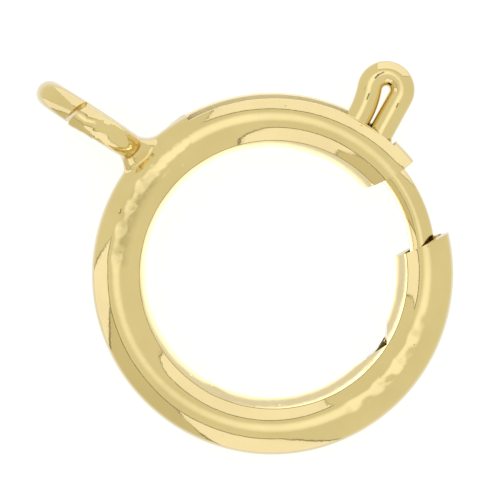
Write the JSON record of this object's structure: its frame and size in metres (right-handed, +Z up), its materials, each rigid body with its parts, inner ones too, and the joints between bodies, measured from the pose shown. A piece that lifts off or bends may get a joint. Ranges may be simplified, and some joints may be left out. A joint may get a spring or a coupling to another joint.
{
  "type": "spring ring clasp",
  "caption": "Round spring ring clasp of rolled tube with a sprung wire tongue, a thumb loop to draw it back and an open attaching ring soldered to its side.",
  "frame": {"origin": "the middle of the ring of tube, halfway through its thickness", "axes": "+Z is up as the clasp lies; -X points to the attaching ring; the thumb loop is towards +Y. The ring's own axis leans 4.8 degrees from +Z towards +X, because the attaching ring props it up"},
  "size_m": [0.0159, 0.014, 0.0041],
  "materials": {
    "ring_gold": "polished pale yellow gold",
    "tongue_gold": "polished pale yellow gold",
    "spring_wire": "plain drawn wire"
  },
  "bodies": {
    "ring": {"body": "ring_gold", "spring": "spring_wire"},
    "tongue": {"tongue": "tongue_gold"}
  },
  "joints": [
    {"name": "tongue_turn", "type": "hinge", "parent": "ring", "child": "tongue", "pos_m": [0, 0, 0], "axis": [0.0832, 0, 0.9965], "range_deg": [0, 52], "stiffness_Nm_per_rad": 0.0124, "deforming": ["spring"]}
  ]
}
